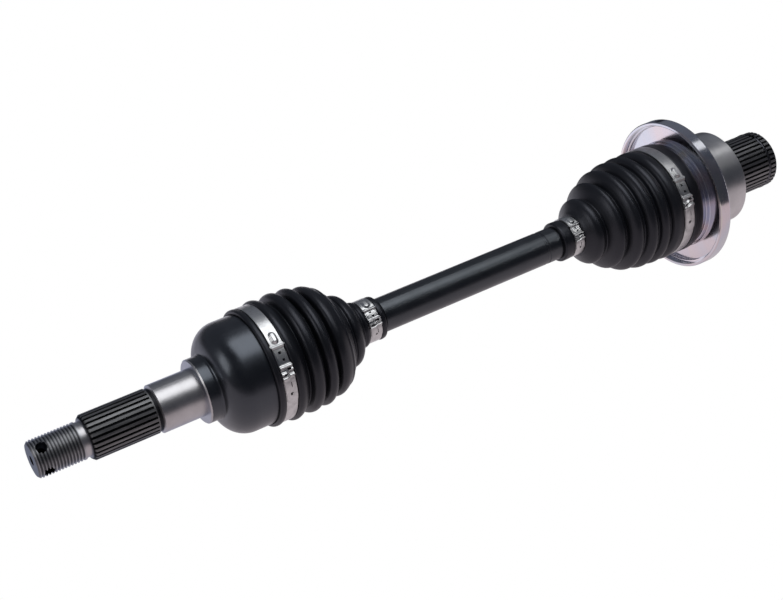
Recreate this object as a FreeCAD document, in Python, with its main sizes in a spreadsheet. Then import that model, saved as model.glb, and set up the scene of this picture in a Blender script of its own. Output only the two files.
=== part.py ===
import FreeCAD, Part
import Sketcher
import math
import os
import re

# Drive axle with two constant-velocity joints: a fixed ball joint in the bell at the wheel end,
# a plunging ball joint in the housing at the gearbox end, and the bar between them.
# +X runs along the axle from the threaded wheel stub to the gearbox stub, +Z is up. Front is -X.
# The origin is on the axle's axis at the front face of the bell's collar, where the wheel
# bearing stops.

os.makedirs("parts", exist_ok=True)
doc = FreeCAD.newDocument("cv_axle")
Vector = FreeCAD.Vector

# ---------------------------------------------------------------- driving dimensions (mm, degrees)
DIMENSIONS = [
    # wheel stub, measured from the threaded tip
    ("stub_length", 107.2, "threaded tip to collar front face"),
    ("centre_mouth", 6.2, "centre drill diameter at the end face"),
    ("centre_pilot", 2.4, "centre drill pilot diameter"),
    ("centre_depth", 7.4, "centre drill depth"),
    ("centre_tip", 0.7, "length of the centre drill's end cone"),
    ("thread_dia", 24.0, "thread major diameter"),
    ("thread_pitch", 2.0, "thread pitch"),
    ("thread_grooves", 14, "grooves that stand for the thread"),
    ("thread_depth", 1.15, "thread groove depth"),
    ("thread_overcut", 0.15, "reach of the thread cut past the major diameter"),
    ("thread_chamfer", 1.6, "chamfer at the tip"),
    ("thread_end", 30.0, "end of the thread"),
    ("undercut_dia", 22.6, "undercut between thread and spline"),
    ("spline_start", 33.9, "start of the wheel spline"),
    ("spline_end", 76.5, "end of the wheel spline"),
    ("spline_dia", 29.2, "wheel spline major diameter"),
    ("spline_root", 26.6, "wheel spline root diameter"),
    ("spline_gap", 1.75, "width of a wheel spline space at the top"),
    ("spline_gap_root", 1.15, "width of a wheel spline space at the root"),
    ("spline_teeth", 27, "wheel spline teeth"),
    ("spline_overcut", 0.3, "reach of any spline cut past the tooth tops"),
    ("relief_dia", 27.6, "groove between spline and journal"),
    ("journal_start", 79.6, "start of the bearing journal"),
    ("journal_dia", 31.4, "bearing journal diameter"),
    ("cotter_dia", 7.2, "cotter pin hole"),
    ("cotter_from_tip", 6.4, "cotter hole centre from the tip"),
    ("cotter_clock", 71.0, "first cotter hole, degrees from -Y towards +Z"),
    ("cotter_drill_past", 3.0, "reach of the cotter drill past the thread on each side"),
    # bell
    ("collar_dia", 42.4, "collar diameter"),
    ("collar_len", 7.4, "collar length"),
    ("collar_chamfer", 0.7, "collar front chamfer"),
    ("collar_fillet", 2.4, "radius between collar and dome"),
    ("dome_start", 9.05, "where the shoulder dome leaves the collar, from the collar face"),
    ("dome_start_dia", 44.2, "dome diameter at its foot"),
    ("dome_radius", 16.9, "shoulder dome radius"),
    ("dome_end", 25.8, "end of the dome, from the collar face"),
    ("bell_dia", 73.5, "bell outer diameter"),
    ("bell_mouth", 53.0, "mouth plane from the collar face"),
    ("bell_chamfer", 0.8, "outer chamfer at the mouth"),
    ("boot_seat_start", 43.2, "boot clamp groove start"),
    ("boot_seat_end", 50.4, "boot clamp groove end"),
    ("boot_seat_dia", 71.3, "boot clamp groove diameter"),
    ("boot_seat_flank", 0.8, "length of each sloping side of the clamp groove"),
    ("mouth_flare_start", 46.8, "start of the mouth chamfer"),
    ("mouth_flare_dia", 62.6, "mouth chamfer diameter"),
    ("mouth_bore_radius", 26.5812, "radius where the bore sphere meets the mouth chamfer"),
    ("floor_from_centre", 27.3496, "bell floor from the joint centre"),
    ("floor_radius", 6.0, "radius of the flat floor of the bell"),
    # ball sets, shared by both joints
    ("wheel_joint_x", 38.0, "wheel side joint centre"),
    ("gearbox_joint_x", 390.0, "gearbox side joint centre at mid plunge"),
    ("ball_dia", 14.2875, "ball diameter, 9/16 inch"),
    ("ball_pitch_radius", 24.0, "pitch radius of the balls"),
    ("ball_count", 6, "balls in each joint"),
    ("track_radius", 8.7, "radius of the wheel side ball tracks"),
    ("straight_track_radius", 7.65, "radius of the straight ball tracks in the housing"),
    ("inboard_race_track_radius", 7.75, "radius of the gearbox side inner race tracks"),
    ("track_arc", 96.0, "swept angle of a curved track in the bell"),
    ("race_track_arc", 110.0, "swept angle of a curved track in an inner race"),
    ("bore_radius", 28.0, "bore that guides the cage"),
    ("cage_outer_radius", 27.75, "cage outer sphere radius"),
    ("cage_inner_radius", 21.4, "cage inner sphere radius"),
    ("cage_half_width", 11.0, "half the cage width"),
    ("cage_edge_outer", 25.476, "cage outer radius at its end faces"),
    ("cage_edge_inner", 18.357, "cage inner radius at its end faces"),
    ("window_len", 14.6, "cage window along the axle"),
    ("window_width", 16.4, "cage window round the axle"),
    ("window_corner", 3.0, "cage window corner radius"),
    ("race_radius", 21.1, "inner race sphere radius"),
    ("race_half_width", 11.0, "half the inner race width"),
    ("race_edge", 18.005, "inner race radius at its end faces"),
    ("race_chamfer", 0.8, "chamfer at each end of the inner race bore"),
    ("race_bore_radius", 10.2, "inner race bore between the spline grooves"),
    ("race_groove_radius", 11.15, "inner race spline groove depth radius"),
    ("race_groove_width", 1.45, "inner race spline groove width"),
    ("race_groove_overcut", 0.6, "reach of the groove cut inside the bore"),
    # bar, measured from its wheel side end
    ("bar_start_x", 23.6, "wheel side end of the bar"),
    ("bar_end", 382.0, "bar length"),
    ("bar_chamfer", 0.9, "bar end chamfer"),
    ("bar_clip_from_end", 1.6, "circlip groove from the bar end"),
    ("bar_clip_width", 1.6, "circlip groove width"),
    ("bar_clip_root", 9.3, "circlip groove root radius"),
    ("bar_spline_len", 27.4, "bar spline length at each end"),
    ("bar_spline_radius", 11.0, "bar spline major radius"),
    ("bar_spline_root", 10.05, "bar spline root radius"),
    ("bar_spline_gap", 1.68, "bar spline space width at the top"),
    ("bar_spline_gap_root", 1.34, "bar spline space width at the root"),
    ("bar_spline_teeth", 24, "bar spline teeth"),
    ("bar_spline_taper", 3.0, "length of the cone from spline to neck"),
    ("bar_neck_radius", 9.5, "neck radius beside each joint"),
    ("bar_seat_taper", 9.0, "length of the cone from neck to boot seat"),
    ("bar_seat_radius", 11.2, "boot seat radius"),
    ("bar_step", 0.6, "length of the cone from boot seat to full bar"),
    ("bar_radius", 11.65, "bar radius"),
    ("bar_seat_a", 88.0, "start of the wheel side boot seat"),
    ("bar_body_a", 110.3, "start of the full bar"),
    ("bar_ring_groove", 242.6, "locating groove in the bar"),
    ("bar_ring_width", 2.6, "locating groove width"),
    ("bar_ring_flank", 0.5, "length of each sloping side of the locating groove"),
    ("bar_ring_depth", 0.45, "locating groove depth"),
    ("bar_body_b", 254.4, "end of the full bar"),
    ("bar_seat_b", 274.5, "end of the gearbox side boot seat"),
    # gearbox side housing, measured from its mouth
    ("housing_mouth_x", 362.0, "mouth of the gearbox side housing"),
    ("housing_bevel", 1.3, "inner chamfer at the mouth"),
    ("housing_chamfer", 0.8, "outer chamfer at the mouth"),
    ("housing_radius", 37.0, "housing radius under the boot"),
    ("housing_ring_one", 38.6, "first stepped ring radius"),
    ("housing_ring_two", 40.2, "second stepped ring radius"),
    ("ring_one_start", 24.2, "first stepped ring start"),
    ("ring_two_start", 26.2, "second stepped ring start"),
    ("ring_one_chamfer", 0.3, "first stepped ring chamfer"),
    ("ring_two_chamfer", 0.4, "second stepped ring chamfer"),
    ("disc_seat_start", 28.6, "disc seat start"),
    ("disc_seat_end", 33.2, "disc seat end"),
    ("disc_seat_radius", 36.0, "disc seat radius"),
    ("boss_radius", 34.4, "boss radius"),
    ("boss_end", 68.1, "boss end"),
    ("boss_chamfer", 1.4, "boss edge chamfer"),
    ("snap_groove_start", 2.2, "retaining ring groove start"),
    ("snap_groove_end", 4.0, "retaining ring groove end"),
    ("snap_groove_radius", 29.5, "retaining ring groove radius"),
    ("blind_cyl_end", 52.0, "end of the cylindrical bore"),
    ("blind_cone_end", 57.0, "end of the bore's cone"),
    ("blind_cone_radius", 18.0, "radius at the end of the bore's cone"),
    ("blind_end", 59.0, "bottom of the bore"),
    ("track_end", 51.5, "end of the straight tracks"),
    ("stub_neck_radius", 18.6, "relief between boss and spline"),
    ("stub_neck_round", 1.2, "arc radius between boss and relief"),
    ("stub_spline_start", 72.2, "start of the gearbox spline"),
    ("stub_spline_radius", 20.9, "gearbox spline major radius"),
    ("stub_spline_root", 19.55, "gearbox spline root radius"),
    ("stub_spline_gap", 1.95, "gearbox spline space width at the top"),
    ("stub_spline_gap_root", 1.05, "gearbox spline space width at the root"),
    ("stub_spline_teeth", 37, "gearbox spline teeth"),
    ("stub_clip_start", 103.6, "stub ring groove start"),
    ("stub_clip_end", 106.0, "stub ring groove end"),
    ("stub_clip_root", 19.0, "stub ring groove root radius"),
    ("stub_end", 112.5, "end of the gearbox stub"),
    ("stub_chamfer", 1.5, "stub end chamfer"),
    ("stub_centre_mouth", 4.2, "stub centre hole radius at the end face"),
    ("stub_centre_pilot", 1.6, "stub centre hole pilot radius"),
    ("stub_centre_cone", 3.6, "depth of the stub centre hole's cone"),
    ("stub_centre_straight", 9.0, "depth of the stub centre hole's straight part"),
    ("stub_centre_depth", 9.9, "full depth of the stub centre hole"),
    # deflector disc, measured from the housing mouth
    ("disc_lip", 23.0, "front edge of the disc's rim"),
    ("disc_web_front", 28.6, "front of the disc's web"),
    ("disc_web_rear", 31.2, "rear of the disc's web"),
    ("disc_rim_rear", 32.4, "rear of the disc's rim"),
    ("disc_hub_radius", 40.0, "disc hub radius"),
    ("disc_rim_inner", 52.4, "inside of the disc's rim"),
    ("disc_radius", 55.1, "disc outer radius"),
    ("disc_lip_chamfer", 0.6, "outer chamfer of the disc's front edge"),
    ("disc_inner_round", 1.6, "arc radius between web and rim"),
    ("disc_outer_round", 1.4, "arc radius at the rim's rear edge"),
    # rings
    ("ring_play", 0.15, "gap in front of a flat ring in its groove"),
    ("clip_inner", 9.45, "bar circlip inner radius"),
    ("clip_outer", 11.6, "bar circlip outer radius"),
    ("clip_thick", 1.3, "bar circlip thickness"),
    ("clip_arc", 325.0, "bar circlip arc"),
    ("snap_inner", 26.3, "retaining ring inner radius"),
    ("snap_outer", 29.3, "retaining ring outer radius"),
    ("snap_thick", 1.5, "retaining ring thickness"),
    ("snap_arc", 344.0, "retaining ring arc"),
    ("stub_ring_wire", 1.05, "stub ring wire radius"),
    ("stub_ring_radius", 20.15, "stub ring wire centre radius"),
    ("stub_ring_arc", 338.0, "stub ring arc"),
    # boots
    ("boot_a_x", 35.0, "origin of the wheel side boot, by its large end"),
    ("boot_b_x", 279.6, "gearbox side boot small end"),
    # clamps
    ("band_thick", 0.9, "clamp band thickness"),
    ("large_a_x", 42.7, "wheel side large clamp start"),
    ("large_a_width", 8.0, "wheel side large clamp width"),
    ("large_a_inner", 37.85, "wheel side large clamp inner radius"),
    ("small_a_x", 119.2, "wheel side small clamp start"),
    ("small_a_width", 8.4, "wheel side small clamp width"),
    ("small_a_inner", 13.75, "wheel side small clamp inner radius"),
    ("small_b_x", 288.2, "gearbox side small clamp start"),
    ("small_b_width", 7.4, "gearbox side small clamp width"),
    ("small_b_inner", 13.25, "gearbox side small clamp inner radius"),
    ("large_b_x", 365.3, "gearbox side large clamp start"),
    ("large_b_width", 8.2, "gearbox side large clamp width"),
    ("large_b_inner", 39.35, "gearbox side large clamp inner radius"),
    ("crimp_rise", 1.5, "height of the crimped ridges above the band"),
    ("bump_rise", 0.9, "height of the pressed bump above the band"),
    ("bump_span", 6.0, "bump length, as an arc at the band's inner radius"),
    ("ridge_span", 1.7, "ridge length, as the same kind of arc"),
    ("ridge_pitch", 3.1, "ridge spacing, as the same kind of arc"),
    ("tail_span", 7.0, "tail length, as the same kind of arc"),
]
sheet = doc.addObject("Spreadsheet::Sheet", "Dims")
VALUES = {}
for row, (alias, value, note) in enumerate(DIMENSIONS, start=1):
    sheet.set("A%d" % row, note)
    sheet.set("B%d" % row, str(value))
    sheet.setAlias("B%d" % row, alias)
    VALUES[alias] = float(value)
doc.recompute()


# ---------------------------------------------------------------- sizes: numbers or expressions
def value_of(size):
    """Value of a number, or of an expression of sums and products of numbers and aliases."""
    if isinstance(size, (int, float)):
        return float(size)
    total = 0.0
    for sign, term in re.findall(r"([+-]?)\s*([^+-]+)", size.strip()):
        product, operator = 1.0, "*"
        for token in re.split(r"([*/])", term):
            token = token.strip()
            if token in ("*", "/"):
                operator = token
            elif token:
                factor = VALUES[token] if token in VALUES else float(token)
                product = product * factor if operator == "*" else product / factor
        total += -product if sign == "-" else product
    return total


def bind(obj, prop, size):
    """Ties a property to the sheet if the size is an expression."""
    if isinstance(size, str):
        obj.setExpression(prop, re.sub(r"[A-Za-z_]\w*", r"Dims.\g<0>", size))


def drive(obj, prop, size):
    """Gives a property its value now and ties it to the sheet."""
    setattr(obj, prop, value_of(size))
    bind(obj, prop, size)


# ---------------------------------------------------------------- bodies and sketches
def origin_feature(body, role):
    return next(f for f in body.Origin.OriginFeatures if f.Role == role)


def new_body(label, x):
    body = doc.addObject("PartDesign::Body", label)
    body.Placement = FreeCAD.Placement(Vector(value_of(x), 0, 0), FreeCAD.Rotation())
    bind(body, ".Placement.Base.x", x)
    return body


def new_sketch(body, name, plane, offset=(0, 0, 0), turn=0.0):
    """A sketch on an origin plane, moved in its own axes and turned about its own X axis."""
    sketch = body.newObject("Sketcher::SketchObject", name)
    sketch.AttachmentSupport = [(origin_feature(body, plane), "")]
    sketch.MapMode = "FlatFace"
    sketch.AttachmentOffset = FreeCAD.Placement(
        Vector(*[value_of(part) for part in offset]), FreeCAD.Rotation(Vector(1, 0, 0), turn))
    for axis, part in zip("xyz", offset):
        bind(sketch, ".AttachmentOffset.Base." + axis, part)
    return sketch


def pin(sketch, edge, point, x, y):
    """Holds one sketch point at (x, y). -1 and -2 are the sketch's own X and Y axes."""
    for size, kind, zero_axis in ((x, "DistanceX", -2), (y, "DistanceY", -1)):
        distance = value_of(size)
        if abs(distance) < 1e-9:
            sketch.addConstraint(Sketcher.Constraint("PointOnObject", edge, point, zero_axis))
        else:
            index = sketch.addConstraint(
                Sketcher.Constraint(kind, -1, 1, edge, point, distance))
            bind(sketch, "Constraints[%d]" % index, size)


def hold_radius(sketch, edge, radius):
    index = sketch.addConstraint(Sketcher.Constraint("Radius", edge, value_of(radius)))
    bind(sketch, "Constraints[%d]" % index, radius)


def add_line(sketch, start, end):
    """Returns the edge with the numbers of its first and last points."""
    return sketch.addGeometry(Part.LineSegment(Vector(*start, 0), Vector(*end, 0)), False), 1, 2


def add_arc(sketch, start, end, radius, turn):
    """The same for an arc that turns left (+1) or right (-1) on its way from start to end."""
    dx, dy = end[0] - start[0], end[1] - start[1]
    half = math.hypot(dx, dy) / 2
    rise = math.sqrt(max(radius * radius - half * half, 0.0))
    centre_x = (start[0] + end[0]) / 2 - turn * rise * dy / (2 * half)
    centre_y = (start[1] + end[1]) / 2 + turn * rise * dx / (2 * half)
    first = math.atan2(start[1] - centre_y, start[0] - centre_x)
    last = math.atan2(end[1] - centre_y, end[0] - centre_x)
    if turn < 0:
        first, last = last, first
    if last < first:
        last += 2 * math.pi
    full = Part.Circle(Vector(centre_x, centre_y, 0), Vector(0, 0, 1), radius)
    edge = sketch.addGeometry(Part.ArcOfCircle(full, first, last), False)
    return (edge, 1, 2) if turn > 0 else (edge, 2, 1)


def outline(sketch, points):
    """A closed outline. Each entry is (x, y), or (x, y, radius, turn) where an arc leaves it."""
    places = [(value_of(p[0]), value_of(p[1])) for p in points]
    following = places[1:] + places[:1]
    edges = []
    for point, start, end in zip(points, places, following):
        if len(point) == 2:
            edges.append(add_line(sketch, start, end))
        else:
            edges.append(add_arc(sketch, start, end, value_of(point[2]), point[3]))
    for (edge, _, last), (after, first, _) in zip(edges, edges[1:] + edges[:1]):
        sketch.addConstraint(Sketcher.Constraint("Coincident", edge, last, after, first))
    for point, (edge, first, _) in zip(points, edges):
        pin(sketch, edge, first, point[0], point[1])
        if len(point) == 4:
            hold_radius(sketch, edge, point[2])


def circle(sketch, x, y, radius):
    shape = Part.Circle(Vector(value_of(x), value_of(y), 0), Vector(0, 0, 1), value_of(radius))
    edge = sketch.addGeometry(shape, False)
    pin(sketch, edge, 3, x, y)
    hold_radius(sketch, edge, radius)


# ---------------------------------------------------------------- features
def revolve(body, sketch, name, angle=360.0):
    """Revolves a section about the sketch's X axis."""
    feature = body.newObject("PartDesign::Revolution", name)
    feature.Profile = sketch
    feature.ReferenceAxis = (sketch, ["H_Axis"])
    drive(feature, "Angle", angle)
    doc.recompute()
    body.Tip = feature


def turned_body(label, x, points, angle=360.0):
    """A body revolved about the axle from (distance along X, radius) points."""
    body = new_body(label, x)
    sketch = new_sketch(body, label + "_section", "XZ_Plane")
    outline(sketch, points)
    revolve(body, sketch, label + "_turned", angle)
    return body


def finish_cut(body, feature, before):
    """Makes a cut the body's tip, and fails if it removed nothing."""
    doc.recompute()
    shape = feature.Shape
    if not shape or shape.isNull() or shape.Volume >= before - 1e-3:
        raise RuntimeError("%s: %s cut nothing" % (body.Label, feature.Name))
    body.Tip = feature
    return feature


def pocket(body, sketch, name, length):
    """Cuts along the sketch's normal."""
    before = body.Tip.Shape.Volume
    feature = body.newObject("PartDesign::Pocket", name)
    feature.Profile = sketch
    drive(feature, "Length", length)
    feature.Reversed = True
    return finish_cut(body, feature, before)


def groove(body, sketch, name, axis, angle=360.0, midplane=False):
    before = body.Tip.Shape.Volume
    feature = body.newObject("PartDesign::Groove", name)
    feature.Profile = sketch
    feature.ReferenceAxis = axis
    feature.Midplane = midplane
    drive(feature, "Angle", angle)
    return finish_cut(body, feature, before)


def pattern(body, kind, feature, name, count, **spread):
    """Repeats a cut along or round the body's X axis."""
    before = body.Tip.Shape.Volume
    copies = body.newObject("PartDesign::" + kind, name)
    copies.Originals = [feature]
    direction = "Axis" if kind == "PolarPattern" else "Direction"
    setattr(copies, direction, (origin_feature(body, "X_Axis"), [""]))
    for prop, size in spread.items():
        drive(copies, prop, size)
    copies.Occurrences = int(round(value_of(count)))
    bind(copies, "Occurrences", count)
    finish_cut(body, copies, before)


def polar(body, feature, name, count):
    pattern(body, "PolarPattern", feature, name, count, Angle=360)


def cut_spline(body, name, prefix, root, top, start, length):
    """Cuts tapered spaces between the teeth. root and top are radii; the prefix picks the
    space widths and the tooth count from the sheet."""
    gap, gap_root = prefix + "_gap", prefix + "_gap_root"
    height = f"{top}-{root}+spline_overcut"
    sketch = new_sketch(body, name + "_space", "YZ_Plane", offset=(f"-{gap}/2", root, start))
    outline(sketch, [
        (f"{gap}/2-{gap_root}/2", "0"),
        (f"{gap}/2+{gap_root}/2", "0"),
        (gap, height),
        ("0", height),
    ])
    space = pocket(body, sketch, name + "_cut", length)
    polar(body, space, name, prefix + "_teeth")


# ---------------------------------------------------------------- bell with its stub, one forging
def bell_forging():
    return turned_body("bell_undrilled", "-stub_length", [
        # centre hole and threaded end
        ("centre_depth", "0"),
        ("centre_depth-centre_tip", "centre_pilot/2"),
        ("centre_mouth/2-centre_pilot/2+1.2", "centre_pilot/2"),
        ("0", "centre_mouth/2"),
        ("0", "thread_dia/2-thread_chamfer"),
        ("thread_chamfer", "thread_dia/2"),
        ("thread_end", "thread_dia/2"),
        ("thread_end", "undercut_dia/2"),
        # spline and journal
        ("spline_start-0.6", "undercut_dia/2"),
        ("spline_start-0.4", "spline_root/2-0.2"),
        ("spline_start+1.3", "spline_dia/2"),
        ("spline_end", "spline_dia/2"),
        ("spline_end+0.5", "relief_dia/2"),
        ("journal_start-0.9", "relief_dia/2"),
        ("journal_start", "journal_dia/2"),
        ("stub_length", "journal_dia/2"),
        # collar, dome and bell outside
        ("stub_length", "collar_dia/2-collar_chamfer"),
        ("stub_length+collar_chamfer", "collar_dia/2"),
        ("stub_length+collar_len", "collar_dia/2", "collar_fillet", 1),
        ("stub_length+dome_start", "dome_start_dia/2", "dome_radius", -1),
        ("stub_length+dome_end", "bell_dia/2"),
        ("stub_length+boot_seat_start", "bell_dia/2"),
        ("stub_length+boot_seat_start+boot_seat_flank", "boot_seat_dia/2"),
        ("stub_length+boot_seat_end-boot_seat_flank", "boot_seat_dia/2"),
        ("stub_length+boot_seat_end", "bell_dia/2"),
        ("stub_length+bell_mouth-bell_chamfer", "bell_dia/2"),
        ("stub_length+bell_mouth", "bell_dia/2-bell_chamfer"),
        # mouth, spherical bore and floor
        ("stub_length+bell_mouth", "mouth_flare_dia/2"),
        ("stub_length+mouth_flare_start", "mouth_bore_radius", "bore_radius", 1),
        ("stub_length+wheel_joint_x-floor_from_centre", "floor_radius"),
        ("stub_length+wheel_joint_x-floor_from_centre", "0"),
    ])


def cut_bell_tracks(bell):
    sketch = new_sketch(bell, "bell_track_section", "YZ_Plane",
                        offset=("0", "0", "stub_length+wheel_joint_x"))
    circle(sketch, "0", "ball_pitch_radius", "track_radius")
    track = groove(bell, sketch, "bell_track", (sketch, ["H_Axis"]), "track_arc", midplane=True)
    polar(bell, track, "bell_tracks", "ball_count")


def cut_thread(bell):
    """Separate grooves at the thread's pitch: a solid helix has a surface that is slow to
    mesh, and nothing here turns on the thread."""
    sketch = new_sketch(bell, "thread_section", "XZ_Plane",
                        offset=("thread_pitch*0.565", "thread_dia/2-thread_depth", "0"))
    outline(sketch, [
        ("thread_pitch*0.35", "0"),
        ("thread_pitch*0.52", "0"),
        ("thread_pitch*0.92", "thread_depth+thread_overcut"),
        ("-thread_pitch*0.05", "thread_depth+thread_overcut"),
    ])
    ring = groove(bell, sketch, "thread_groove", (origin_feature(bell, "X_Axis"), [""]))
    pattern(bell, "LinearPattern", ring, "thread_rings", "thread_grooves",
            Length="thread_pitch*thread_grooves-thread_pitch")


def drill_cotter_holes(bell):
    """Two crossed holes through the threaded end, a quarter turn apart."""
    drilled = bell
    for index, back_turn in enumerate((0.0, 90.0), start=1):
        drill = doc.addObject("Part::Cylinder", "cotter_drill_%d" % index)
        drive(drill, "Radius", "cotter_dia/2")
        drive(drill, "Height", "thread_dia+cotter_drill_past*2")
        angle = math.radians(VALUES["cotter_clock"] - back_turn)
        along = Vector(0, -math.cos(angle), math.sin(angle))
        centre = Vector(value_of("cotter_from_tip-stub_length"), 0, 0)
        drill.Placement = FreeCAD.Placement(
            centre - along * value_of("thread_dia/2+cotter_drill_past"),
            FreeCAD.Rotation(Vector(0, 0, 1), along))
        bind(drill, ".Placement.Base.x", "cotter_from_tip-stub_length")
        cut = doc.addObject("Part::Cut", "cotter_cut_%d" % index)
        cut.Base = drilled
        cut.Tool = drill
        drilled = cut
    return drilled


def outboard_bell():
    bell = bell_forging()
    cut_bell_tracks(bell)
    cut_spline(bell, "wheel_spline", "spline", "spline_root/2", "spline_dia/2",
               "spline_start-3", "spline_end-spline_start+2.2")
    cut_thread(bell)
    drilled = drill_cotter_holes(bell)
    drilled.Label = "outboard_bell"
    return drilled


# ---------------------------------------------------------------- cages, inner races and balls
# side, joint centre, first ball in degrees from +Y towards +Z (90 or 0), inner race track radius
JOINTS = [
    ("outboard", "wheel_joint_x", 90, "track_radius"),
    ("inboard", "gearbox_joint_x", 0, "inboard_race_track_radius"),
]


def cage(side, x, first_ball):
    """A spherical shell with a rounded window for each ball."""
    label = side + "_cage"
    body = new_body(label, x)
    sketch = new_sketch(body, label + "_section", "XZ_Plane",
                        offset=("-cage_half_width", "0", "0"))
    outline(sketch, [
        ("0", "cage_edge_inner", "cage_inner_radius", -1),
        ("cage_half_width*2", "cage_edge_inner"),
        ("cage_half_width*2", "cage_edge_outer", "cage_outer_radius", 1),
        ("0", "cage_edge_outer"),
    ])
    revolve(body, sketch, label + "_shell")
    sketch = new_sketch(body, label + "_window_outline", "XY_Plane",
                        offset=("-window_len/2", "0", "0"), turn=90.0 - first_ball)
    outline(sketch, [
        ("window_len-window_corner", "-window_width/2", "window_corner", 1),
        ("window_len", "-window_width/2+window_corner"),
        ("window_len", "window_width/2-window_corner", "window_corner", 1),
        ("window_len-window_corner", "window_width/2"),
        ("window_corner", "window_width/2", "window_corner", 1),
        ("0", "window_width/2-window_corner"),
        ("0", "-window_width/2+window_corner", "window_corner", 1),
        ("window_corner", "-window_width/2"),
    ])
    window = pocket(body, sketch, label + "_window", "cage_outer_radius+2")
    polar(body, window, label + "_windows", "ball_count")
    return body


def inner_race(side, x, first_ball, track_radius):
    """A ring with a spherical outside, curved ball tracks and a grooved bore for the bar."""
    label = side + "_inner_race"
    body = new_body(label, x)
    sketch = new_sketch(body, label + "_section", "XZ_Plane",
                        offset=("-race_half_width", "0", "0"))
    outline(sketch, [
        ("0", "race_bore_radius+race_chamfer"),
        ("race_chamfer", "race_bore_radius"),
        ("race_half_width*2-race_chamfer", "race_bore_radius"),
        ("race_half_width*2", "race_bore_radius+race_chamfer"),
        ("race_half_width*2", "race_edge", "race_radius", 1),
        ("0", "race_edge"),
    ])
    revolve(body, sketch, label + "_ring")

    sketch = new_sketch(body, label + "_track_section", "YZ_Plane")
    if first_ball == 90:
        circle(sketch, "0", "ball_pitch_radius", track_radius)
        axis = "H_Axis"
    else:
        circle(sketch, "ball_pitch_radius", "0", track_radius)
        axis = "V_Axis"
    track = groove(body, sketch, label + "_track", (sketch, [axis]), "race_track_arc",
                   midplane=True)
    polar(body, track, label + "_tracks", "ball_count")

    sketch = new_sketch(body, label + "_spline_space", "YZ_Plane", offset=(
        "-race_groove_width/2", "race_bore_radius-race_groove_overcut", "-race_half_width-1"))
    depth = "race_groove_radius-race_bore_radius+race_groove_overcut"
    outline(sketch, [
        ("0", "0"),
        ("race_groove_width", "0"),
        ("race_groove_width", depth),
        ("0", depth),
    ])
    space = pocket(body, sketch, label + "_spline_groove", "race_half_width*2+2")
    polar(body, space, label + "_spline", "bar_spline_teeth")
    return body


def balls(side, x, first_ball):
    spheres = []
    count = int(VALUES["ball_count"])
    for i in range(count):
        ball = doc.addObject("Part::Sphere", "%s_ball_%d" % (side, i + 1))
        drive(ball, "Radius", "ball_dia/2")
        angle = first_ball + 360 / count * i
        bind(ball, ".Placement.Base.x", x)
        for axis, function in (("y", "cos"), ("z", "sin")):
            ball.setExpression(".Placement.Base." + axis,
                               "Dims.ball_pitch_radius * %s(%g deg)" % (function, angle))
        spheres.append(ball)
    return spheres


# ---------------------------------------------------------------- the bar
def axle_bar():
    bar = turned_body("axle_bar", "bar_start_x", [
        # wheel side end with its circlip groove
        ("0", "0"),
        ("0", "bar_spline_radius-bar_chamfer"),
        ("bar_chamfer", "bar_spline_radius"),
        ("bar_clip_from_end", "bar_spline_radius"),
        ("bar_clip_from_end", "bar_clip_root"),
        ("bar_clip_from_end+bar_clip_width", "bar_clip_root"),
        ("bar_clip_from_end+bar_clip_width", "bar_spline_radius"),
        ("bar_spline_len", "bar_spline_radius"),
        ("bar_spline_len+bar_spline_taper", "bar_neck_radius"),
        # boot seats and the full bar with its locating groove
        ("bar_seat_a-bar_seat_taper", "bar_neck_radius"),
        ("bar_seat_a", "bar_seat_radius"),
        ("bar_body_a-bar_step", "bar_seat_radius"),
        ("bar_body_a", "bar_radius"),
        ("bar_ring_groove", "bar_radius"),
        ("bar_ring_groove+bar_ring_flank", "bar_radius-bar_ring_depth"),
        ("bar_ring_groove+bar_ring_width-bar_ring_flank", "bar_radius-bar_ring_depth"),
        ("bar_ring_groove+bar_ring_width", "bar_radius"),
        ("bar_body_b", "bar_radius"),
        ("bar_body_b+bar_step", "bar_seat_radius"),
        ("bar_seat_b", "bar_seat_radius"),
        ("bar_seat_b+bar_seat_taper", "bar_neck_radius"),
        # gearbox side end
        ("bar_end-bar_spline_len-bar_spline_taper", "bar_neck_radius"),
        ("bar_end-bar_spline_len", "bar_spline_radius"),
        ("bar_end-bar_clip_from_end-bar_clip_width", "bar_spline_radius"),
        ("bar_end-bar_clip_from_end-bar_clip_width", "bar_clip_root"),
        ("bar_end-bar_clip_from_end", "bar_clip_root"),
        ("bar_end-bar_clip_from_end", "bar_spline_radius"),
        ("bar_end-bar_chamfer", "bar_spline_radius"),
        ("bar_end", "bar_spline_radius-bar_chamfer"),
        ("bar_end", "0"),
    ])
    # each cut reaches 1 mm past the bar's end and 1.2 mm past the spline
    for end, start in (("a", "-1"), ("b", "bar_end-bar_spline_len-1.2")):
        cut_spline(bar, "bar_spline_" + end, "bar_spline", "bar_spline_root",
                   "bar_spline_radius", start, "bar_spline_len+2.2")
    # half a tooth pitch of turn, so that the bar's teeth meet the grooves of the inner races
    bar.Placement = FreeCAD.Placement(
        bar.Placement.Base, FreeCAD.Rotation(Vector(1, 0, 0), 180 / VALUES["bar_spline_teeth"]))
    return bar


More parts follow.
